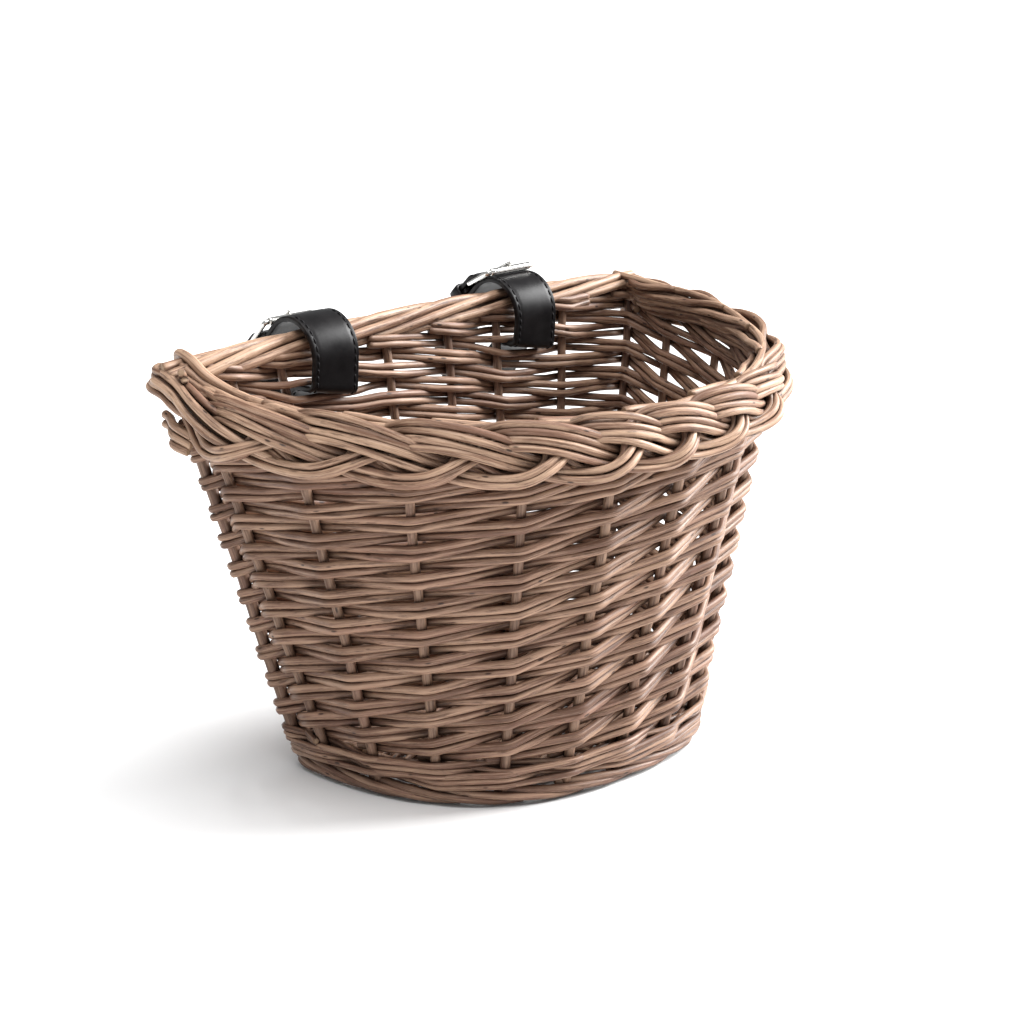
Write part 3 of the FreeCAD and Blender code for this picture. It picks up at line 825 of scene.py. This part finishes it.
def make_plait_lining():
    """Ribbons of three rods inside the border, each laid over the end of the one before."""
    length = plait_length()
    first, last = 13 * MM, length - 3 * MM
    random = seeded("plait_lining")
    parts = []
    for begin in np.arange(-30 * MM, length - 20 * MM, LINING_STEP):
        begin = begin + random.uniform(-4, 4) * MM
        for rank in (-1, 0, 1):
            share = np.linspace(0, 1, 50)
            places = begin + share * (LINING_STROKE + random.uniform(-8, 8) * MM)
            inside = (places > first) & (places < last)
            if inside.sum() < 8:
                continue
            share, places = share[inside], places[inside]
            rear = plait_rear(places)
            fall = LINING_TOP - (15 - 7 * rear) * MM * smooth_step(share)
            lift = fall + rank * 1.95 * LINING_ROD + 0.8 * PLAIT_RISE * rear
            shown = smooth_step(share / 0.25) * smooth_step((1 - share) / 0.25)
            shown = shown * smooth_step((places - first) / LINING_TUCK)
            shown = shown * smooth_step((last - places) / LINING_TUCK)
            proud = (-4.6 - 4.8 * shown) * MM + wander(random, places, 70 * MM, 0.3 * MM)
            lift = lift + wander(random, places, 80 * MM, 0.4 * MM)
            parts.append(tube(plait_line(places, lift, proud, 3 * MM), LINING_ROD, random))
    willow_piece("plait_lining", parts, "border_willow", "front_border")


# Rods at the left back corner: a radius, then (x, behind the back line, height) points, then
# (place, height, depth) points in the plait.
CORNER_RODS = (
    (2.3, ((-127, 44, 187), (-133, 38, 195.5), (-134, 26, 194), (-135, 15, 188.5)),
     ((22, 16.5, -9.5), (36, 14.5, -8), (66, 12, -3), (96, 8.5, 0.5), (118, 4, -1))),
    (1.9, ((-126, 42, 184), (-134, 37, 190.5), (-138, 27, 191)),
     ((14, 15, -6.5), (34, 12.5, -4.5), (60, 9.5, -1.5), (84, 5, 0.5))),
    (1.8, ((-130, 42, 182), (-138, 38, 188), (-142, 28, 190)),
     ((10, 14.5, -3), (24, 12, -2), (44, 8, 0.5), (70, 3, 1.5), (84, 0, -2), (94, -3, -5))),
    (1.9, ((-128, 42, 181), (-140, 40, 186), (-146, 32, 189.5)),
     ((6, 13.5, 3.5), (18, 8, 5.4), (36, 0, 4.5), (52, -5.5, 0), (66, -9, -5))),
    (1.8, ((-132, 44, 179), (-144, 40, 183.5), (-150, 33, 186)),
     ((4, 9.5, 4.5), (16, 3, 5.6), (30, -4, 4), (42, -7.5, 0))),
    (2.0, ((-142.5, 35, 169), (-141.5, 31, 168.5)), ((2, -4.5, -1), (9, -5.5, -2), (15, -7, -4))),
    (2.0, ((-142, 36, 164.5), (-141, 31, 164)), ((2, -8.8, -2), (9, -9.6, -3), (15, -11, -5))),
    (1.9, ((-140, 34, 160.5), (-139, 30, 160)), ((3, -13, -2.5), (9, -13.5, -3.5), (15, -14, -5))),
)


def make_corner():
    """Rod ends bent over and round the left back corner, where the two borders meet."""
    random = seeded("corner_rods")
    parts = []
    for radius, free, bound in CORNER_RODS:
        start = np.array(free) * MM + np.array([0, BACK_LINE, 0])
        flat = np.array(bound) * MM
        places = np.arange(flat[0, 0], flat[-1, 0], 2 * MM)
        lift, proud = (np.interp(places, flat[:, 0], flat[:, column]) for column in (1, 2))
        middle, _, rise, out = plait_frame(places)
        rest = middle + rise * lift[:, None] + out * proud[:, None]
        line = soften(np.vstack([start, rest]), 4 * MM)
        parts.append(tube(line, radius * MM, random, 12))
    willow_piece("corner_rods", parts, "border_willow", "front_border")


# ---- the rolled back border

BACK_MIDDLE_Y = 30 * MM
BACK_MIDDLE_Z = 186 * MM
BACK_CROWN = 4.5 * MM
BACK_RING = 4.9 * MM
BACK_ROD = 2.35 * MM
BACK_TWIST = 250 * MM
BACK_OVERHANG = 4 * MM
BACK_TAPER = (1.1, 0.92)


def make_back_border():
    """Six rods that twist slowly round a seventh along the back."""
    half = RIM[0] + BACK_OVERHANG
    places = np.linspace(-half, half, 130)
    crown = BACK_CROWN * (1 - (places / half) ** 2)
    for number in range(6):
        name = "back_rod_%d" % (number + 1)
        random = seeded(name)
        turn = number * np.pi / 3 - 2 * np.pi * places / BACK_TWIST
        turn = turn + wander(random, places, 120 * MM, 0.12)
        reach = BACK_RING + wander(random, places, 90 * MM, 0.25 * MM)
        line = np.column_stack([places, BACK_LINE + BACK_MIDDLE_Y + reach * np.cos(turn),
                                BACK_MIDDLE_Z + crown + reach * np.sin(turn)])
        taper = np.linspace(*BACK_TAPER, len(places))
        parts = [tube(line, taper * BACK_ROD, random, 12)]
        if number == 0:
            core = np.column_stack([places, np.full(len(places), BACK_LINE + BACK_MIDDLE_Y),
                                    BACK_MIDDLE_Z + crown])
            parts.append(tube(core, BACK_ROD, random, 12))
        willow_piece(name, parts, "border_willow", "back_border_rod_%d" % (number + 1))


# ---- straps and buckles

# Bends of a strap's loop in side view: (behind the back line, height, outside radius).
BAR_BEND = np.array([56, 160, 18]) * MM
CREST_BEND = np.array([31, 185, 18]) * MM
LEG_BENDS = {"left": np.array([18.5, 172, 4.5]) * MM, "right": np.array([18.5, 173, 4.5]) * MM}
TWIST = 0.2
STRAP_HALF = 13 * MM
STRAP_THICK = 2.6 * MM
STRAP_EDGE = 0.75 * MM
STRAP_CROWN = 0.22 * MM
SEAM_INSET = 2.2 * MM
SEAM_GROOVE = 0.22 * MM
SEAM_WIDTH = 0.9 * MM
# Heights over the slope of the loop, of the middle of the folded end and of the tail.
CHAPE_LEVEL = 3.1 * MM
TAIL_LEVEL = 5.9 * MM
TAIL_START = 11 * MM
TAIL_END = 19.8 * MM
TAIL_TIP = 7 * MM


def loop_line(bends, step=1.2 * MM):
    """Rows (y, z, outward y, outward z) round a loop of bends with straight runs between."""
    circles = [(np.array([BACK_LINE + y, z]), radius) for y, z, radius in bends]
    normals = []
    for index, (here, radius) in enumerate(circles):
        there, following = circles[(index + 1) % len(circles)]
        length = np.linalg.norm(there - here)
        along = (there - here) / length
        right = np.array([along[1], -along[0]])
        lean = (radius - following) / length
        normals.append(along * lean + right * math.sqrt(1 - lean * lean))
    rows = []
    for index, (middle, radius) in enumerate(circles):
        first, last = normals[index - 1], normals[index]
        begin = math.atan2(first[1], first[0])
        sweep = (math.atan2(last[1], last[0]) - begin) % (2 * math.pi)
        if sweep > math.pi:
            sweep -= 2 * math.pi
        for share in np.linspace(0, 1, max(4, int(abs(sweep) * radius / step))):
            out = np.array([math.cos(begin + share * sweep), math.sin(begin + share * sweep)])
            rows.append(np.concatenate([middle + radius * out, out]))
        following = circles[(index + 1) % len(circles)]
        end = following[0] + last * following[1]
        start = rows[-1][:2]
        count = max(2, int(np.linalg.norm(end - start) / step))
        for share in np.linspace(0, 1, count, endpoint=False)[1:]:
            rows.append(np.concatenate([start + share * (end - start), last]))
    return np.array(rows)


def band_section(thick):
    """A strap's section: (across, height over the outer face) points, and their wear."""
    half, edge = STRAP_HALF, STRAP_EDGE
    points, wear = [], []

    def corner(side, face, turns, value):
        """A rounded edge: side is 1 or -1 across, and face is 1 outside or -1 inside."""
        level = -edge if face > 0 else edge - thick
        for angle in np.radians(turns):
            points.append((side * (half - edge + edge * math.cos(angle)),
                           level + face * edge * math.sin(angle)))
            wear.append(value)

    for x in np.linspace(-half + edge, half - edge, 27):
        seam = half - SEAM_INSET - abs(x)
        dip = SEAM_GROOVE * math.exp(-(seam / SEAM_WIDTH) ** 2)
        points.append((x, -dip + STRAP_CROWN * (1 - (x / half) ** 2)))
        wear.append(0.25 * (abs(x) > half - 1.6 * MM))
    corner(1, 1, (60, 30, 0), 1.0)
    corner(1, -1, (0, 30, 60), 0.6)
    for x in np.linspace(half - edge, -half + edge, 9):
        points.append((x, -thick))
        wear.append(0.0)
    corner(-1, -1, (60, 30, 0), 0.6)
    corner(-1, 1, (0, 30, 60), 1.0)
    return np.array(points), np.array(wear)


def band_mesh(name, middle, rows, thick, closed, narrow=None, twist=None):
    """Leather swept along a line in side view; narrow gives its width's share at each row."""
    section, wear = band_section(thick)
    count, around = len(rows), len(section)
    narrow = np.ones(count) if narrow is None else narrow
    points = np.zeros((count, around, 3))
    points[:, :, 0] = middle + np.outer(narrow, section[:, 0])
    points[:, :, 1] = rows[:, None, 0] + rows[:, None, 2] * section[None, :, 1]
    points[:, :, 2] = rows[:, None, 1] + rows[:, None, 3] * section[None, :, 1]
    if twist is not None:
        points[:, :, 2] -= np.outer(twist, section[:, 0])
    faces = grid_faces(count, around, closed)[:, [0, 3, 2, 1]].tolist()
    if not closed:
        faces.append(list(range(around)))
        faces.append(list(range(count * around - 1, (count - 1) * around - 1, -1)))
    return new_mesh(name, points.reshape(-1, 3), faces, wear=np.tile(wear, count))


def joint_point(name):
    """Where a joint is, from the record."""
    return next(np.array(joint["pos_m"]) for joint in frame["joints"] if joint["name"] == name)


def slope_frame():
    """The straight slope behind the border: its start, direction and outward normal (y, z)."""
    along = unit(BAR_BEND[:2] - CREST_BEND[:2])
    out = np.array([-along[1], along[0]])
    start = np.array([BACK_LINE, 0]) + CREST_BEND[:2] + CREST_BEND[2] * out
    return start, along, out


def slope_rows(points):
    """Rows for band_mesh from (place, height) points on the slope."""
    start, along, out = slope_frame()
    flat = np.array(points)
    line = start + np.outer(flat[:, 0], along) + np.outer(flat[:, 1], out)
    ways = unit(np.gradient(line, axis=0))
    return np.column_stack([line, -ways[:, 1], ways[:, 0]])


def heel_place(side):
    """How far down the slope a buckle's heel bar is, from its joint."""
    start, along, _ = slope_frame()
    return float((joint_point(side + "_buckle_tilt")[1:] - start) @ along)


LEVEL_EASE = 1.5 * MM
LEVEL_END = 26 * MM
LEVEL_FADE = 20 * MM


def level_run(loop):
    """A loop's lower run held level through the wall, before it falls to the handlebar's bend."""
    loop = loop.copy()
    corner = int(np.argmin(loop[:, 0] + loop[:, 1]))
    run = np.arange(corner, len(loop))
    run = run[loop[run, 0] < BACK_LINE + BAR_BEND[0]]
    first = run[np.argmax(loop[run, 3] == loop[run, 3].min())]
    run = run[run >= first]
    fall = loop[first, 2] / loop[first, 3]
    past = loop[run, 0] - loop[first, 0]
    lift = fall * (past - LEVEL_EASE * (1 - np.exp(-past / LEVEL_EASE)))
    behind = loop[run, 0] - BACK_LINE
    loop[run, 1] += lift * (1 - smooth_step((behind - LEVEL_END) / LEVEL_FADE))
    ways = unit(np.roll(loop[:, :2], -1, axis=0) - np.roll(loop[:, :2], 1, axis=0))
    loop[run, 2], loop[run, 3] = ways[run, 1], -ways[run, 0]
    return loop


def loop_twist(loop):
    """How far the loop turns across itself, to lie between the climbing rods of the wall."""
    behind, height = loop[:, 0] - BACK_LINE, loop[:, 1]
    top, back, ease = 186 * MM, 40 * MM, 16 * MM
    return TWIST * smooth_step((top - height) / ease) * smooth_step((back - behind) / ease)


def make_strap(side, direction):
    """One strap's leather and seams."""
    middle = direction * STRAP_PLACE
    body = side + "_strap"

    def leather(part, rows, closed, **shape):
        name = side + part
        mesh = band_mesh(name, middle, rows, STRAP_THICK, closed, **shape)
        piece(name, mesh, LEATHER, body, [side + "_strap_band"])

    def profile(*points):
        return soften(np.array(points), 1.6 * MM, 1.0 * MM)

    loop = level_run(loop_line([BAR_BEND, CREST_BEND, LEG_BENDS[side]]))
    leather("_loop", loop, True, twist=loop_twist(loop))
    heel = heel_place(side)
    begin = heel - TAIL_START
    drop = CREST_BEND[2] - math.sqrt(CREST_BEND[2] ** 2 - min(begin, 0) ** 2)
    tail = profile((begin, -drop + 0.3 * MM), (heel - 2.6 * MM, TAIL_LEVEL),
                   (heel + TAIL_END, TAIL_LEVEL))
    along = distances(tail)
    left = (along[-1] - along) / TAIL_TIP
    narrow = np.where(left < 1, np.sqrt(np.clip(1 - (1 - left) ** 2, 0.02, 1)) * 0.45 + 0.55, 1)
    leather("_tail", slope_rows(tail), False, narrow=narrow)
    chape = profile((heel + 4.9 * MM, CHAPE_LEVEL), (heel + 17 * MM, CHAPE_LEVEL))
    leather("_chape", slope_rows(chape), False)
    make_seams(side, middle, loop, body)


STITCH = 3.0 * MM
STITCH_PITCH = 3.9 * MM
STITCH_RADIUS = 0.36 * MM
STITCH_PATH = np.array([-0.42, -0.08, 0.04, 0.04, -0.08, -0.42]) * MM


def make_seams(side, middle, loop, body):
    """Two seams of separate stitches, one along each edge of the loop."""
    none = np.zeros(len(loop))
    rows = np.column_stack([none, loop[:, :2], none, loop[:, 2:]])
    rows = np.vstack([rows, rows[:1]])
    total = distances(rows)[-1]
    random = seeded(side + "_seams")
    crest = BACK_LINE + CREST_BEND[0]
    parts = []
    for edge in (-1, 1):
        x = middle + edge * (STRAP_HALF - SEAM_INSET)
        place = 0.0
        while place < total - 4 * MM:
            stitch = walk(rows, place + np.linspace(0, STITCH, len(STITCH_PATH)))
            place += STITCH_PITCH
            if stitch[0, 1] > crest + 2 * MM:
                continue
            points = stitch[:, :3] + stitch[:, 3:] * STITCH_PATH[:, None]
            points[:, 0] = x
            points[:, 2] -= loop_twist(points[:, 1:]) * (x - middle)
            parts.append(tube(points, STITCH_RADIUS, random, 8, (0.6, 0.6), 0.0))
    name = side + "_seams"
    piece(name, as_mesh(name, parts), THREAD, body, [side + "_strap_stitching"])


def metal(side, part, line, radius, random, **shape):
    """A nickel piece of a buckle, on a body of its own."""
    name, node = side + "_" + part, side + "_buckle_" + part
    body = side + ("_buckle" if part == "frame" else "_" + part)
    mesh = as_mesh(name, [tube(line, radius, random, knots=0.0, **shape)])
    piece(name, mesh, NICKEL, body, [node])


FRAME_HALF = 14.7 * MM
FRAME_WIRE = 1.2 * MM
FRAME_CORNER = 2.6 * MM
ROLLER_HALF = 12.8 * MM
ROLLER_RADIUS = 1.9 * MM
ROLLER_ROUND = 0.35 * MM
PRONG_RADIUS = 0.95 * MM
# The prong's line, in millimetres: (place from the heel bar, height over it) round the bar, then
# (share of the buckle's length, place past that, height) to the roller and over it.
PRONG_HOOK = ((0.8, -2.0), (2.3, 0.0), (0.9, 2.3), (-3.0, 3.0))
PRONG_ARM = ((0.55, 0.0, 2.9), (1.0, 0.0, 2.9), (1.0, 2.2, 2.6))


def make_buckle(side):
    """A wire frame with rounded corners, its roller and its prong."""
    heel, toe = joint_point(side + "_buckle_tilt"), joint_point(side + "_roller_spin")
    across, back = np.array([1.0, 0.0, 0.0]), unit(heel - toe)
    out = np.cross(across, back)
    random = seeded(side + "_buckle")
    length = np.linalg.norm(heel - toe)
    path = [heel + across * sx * FRAME_HALF + back * sy * length
            for sx, sy in ((0, -1), (1, -1), (1, 0), (-1, 0), (-1, -1), (0, -1))]
    ring = soften(np.array(path), FRAME_CORNER / 2.4, 0.7 * MM)
    metal(side, "frame", ring, FRAME_WIRE, random, sides=14, ends=(1, 1))
    span = np.linspace(-ROLLER_HALF, ROLLER_HALF, 40)
    line = toe + np.outer(span, across)
    end = np.clip((ROLLER_HALF - np.abs(span)) / (0.6 * MM), 0, 1)
    radius = ROLLER_RADIUS - ROLLER_ROUND * (1 - np.sqrt(1 - (1 - end) ** 2))
    metal(side, "roller", line, radius, random, sides=24, ends=(0.9, 0.9))
    profile = np.array(PRONG_HOOK) * MM
    profile = np.vstack([profile, [(-share * length - past * MM, height * MM)
                                   for share, past, height in PRONG_ARM]])
    arm = soften(heel + np.outer(profile[:, 0], back) + np.outer(profile[:, 1], out), 0.9 * MM,
                 0.6 * MM)
    size = np.linspace(1.0, 0.82, len(arm)) * PRONG_RADIUS
    metal(side, "prong", arm, size, random, sides=14, ends=(0.7, 0.55))


KEEPER_PLACE = 11.5 * MM
KEEPER_ROOM = 1.1 * MM
KEEPER_CORNER = 1.4 * MM
KEEPER_WEAR = 0.3


def make_keeper(side, direction):
    """The leather loop round the strap and its tail."""
    start, along, out = slope_frame()
    centre = start + along * (heel_place(side) + KEEPER_PLACE)
    middle = direction * STRAP_PLACE
    low, high = -STRAP_THICK - KEEPER_ROOM, TAIL_LEVEL + KEEPER_ROOM
    half = STRAP_HALF + KEEPER_ROOM
    path = [[middle + sx * half, *(centre + out * level)]
            for sx, level in ((0, high), (1, high), (1, low), (-1, low), (-1, high), (0, high))]
    ring = soften(np.array(path), KEEPER_CORNER, 1.0 * MM)[:-1]
    ways = unit(np.roll(ring, -1, axis=0) - np.roll(ring, 1, axis=0))
    slope = np.array([0.0, *along])
    proud = np.cross(slope, ways)
    inside = np.array([middle, *(centre + out * (low + high) / 2)])
    proud = unit(proud * np.sign(np.sum(proud * (ring - inside), axis=1))[:, None])
    wide, thick, edge, crown = 3.5 * MM, 0.8 * MM, 0.5 * MM, 0.12 * MM
    right = [(0, thick + crown), (wide - edge, thick), (wide - edge * 0.3, thick - edge * 0.3),
             (wide, thick - edge), (wide, -thick + edge), (wide - edge, -thick)]
    section = np.array(right + [(-across, height) for across, height in reversed(right[1:])])
    points = ring[:, None] + slope * section[None, :, :1] + proud[:, None] * section[None, :, 1:]
    faces = grid_faces(len(ring), len(section), True).tolist()
    points = points.reshape(-1, 3)
    name = side + "_keeper_loop"
    mesh = new_mesh(name, points, faces, wear=np.full(len(points), KEEPER_WEAR))
    piece(name, mesh, LEATHER, side + "_keeper", [side + "_strap_keeper"])


# ---- stage

def make_floor_plane():
    """A plain pale floor, larger than the view."""
    half = 7.0
    corners = np.array([(-half, -half, 0), (half, -half, 0), (half, half, 0), (-half, half, 0)])
    mesh = new_mesh("studio_floor", corners, [[0, 1, 2, 3]])
    g = Graph("studio_floor")
    source = g.add("TexCoord").outputs["Object"]
    colour = g.blend(g.noise(source, 3.0), rgb(0.80, 0.80, 0.80), rgb(0.82, 0.82, 0.82))
    g.set(g.shader, {"Base Color": colour, "Roughness": 0.9, "Specular IOR Level": 0.1})
    mesh.materials.append(g.material)
    plane = in_scene("studio_floor", mesh)


WORLD_STRENGTH = 0.42
# Wide suns: (name, direction it comes from, strength, spread in degrees).
SUNS = (("side_key", (0.84, -0.30, 0.45), 8.6, 34), ("top_key", (-0.04, -0.14, 0.99), 3.1, 50))


def make_lights():
    """Soft light from all round, a low key from the right and another from above the front."""
    world = bpy.data.worlds.new("studio")
    world.use_nodes = True
    light = world.node_tree.nodes["Background"].inputs
    light["Color"].default_value = rgb(0.97, 0.985, 1.0)
    light["Strength"].default_value = WORLD_STRENGTH
    bpy.context.scene.world = world
    for name, source, strength, spread in SUNS:
        data = bpy.data.lights.new(name, "SUN")
        data.energy = strength
        data.angle = math.radians(spread)
        in_scene(name, data).rotation_euler = Vector(source).to_track_quat("Z", "Y").to_euler()
    bpy.context.scene.view_settings.view_transform = "Standard"


CAMERA_TURN = math.radians(-43.288)
CAMERA_LIFT = math.radians(17.126)
CAMERA_DISTANCE = 1.108
CAMERA_LENS = 88.4
CAMERA_TARGET = Vector((-37.2 * MM, BACK_LINE - 75.0 * MM, 126.5 * MM))


def make_camera():
    """The camera, turned to the basket's left front and a little above it."""
    away = Vector((math.sin(CAMERA_TURN) * math.cos(CAMERA_LIFT),
                   -math.cos(CAMERA_TURN) * math.cos(CAMERA_LIFT), math.sin(CAMERA_LIFT)))
    data = bpy.data.cameras.new("camera")
    data.sensor_width = 36
    data.lens = CAMERA_LENS
    camera = in_scene("camera", data)
    camera.location = CAMERA_TARGET + away * CAMERA_DISTANCE
    camera.rotation_euler = (-away).to_track_quat("-Z", "Y").to_euler()
    bpy.context.scene.camera = camera


make_stakes()
make_randing()
make_wale()
make_foot()
make_floor()
make_plait()
make_plait_core()
make_plait_lining()
make_corner()
make_back_border()
for strap_side, strap_direction in (("left", -1), ("right", 1)):
    make_strap(strap_side, strap_direction)
    make_keeper(strap_side, strap_direction)
    make_buckle(strap_side)
make_floor_plane()
make_lights()
make_camera()
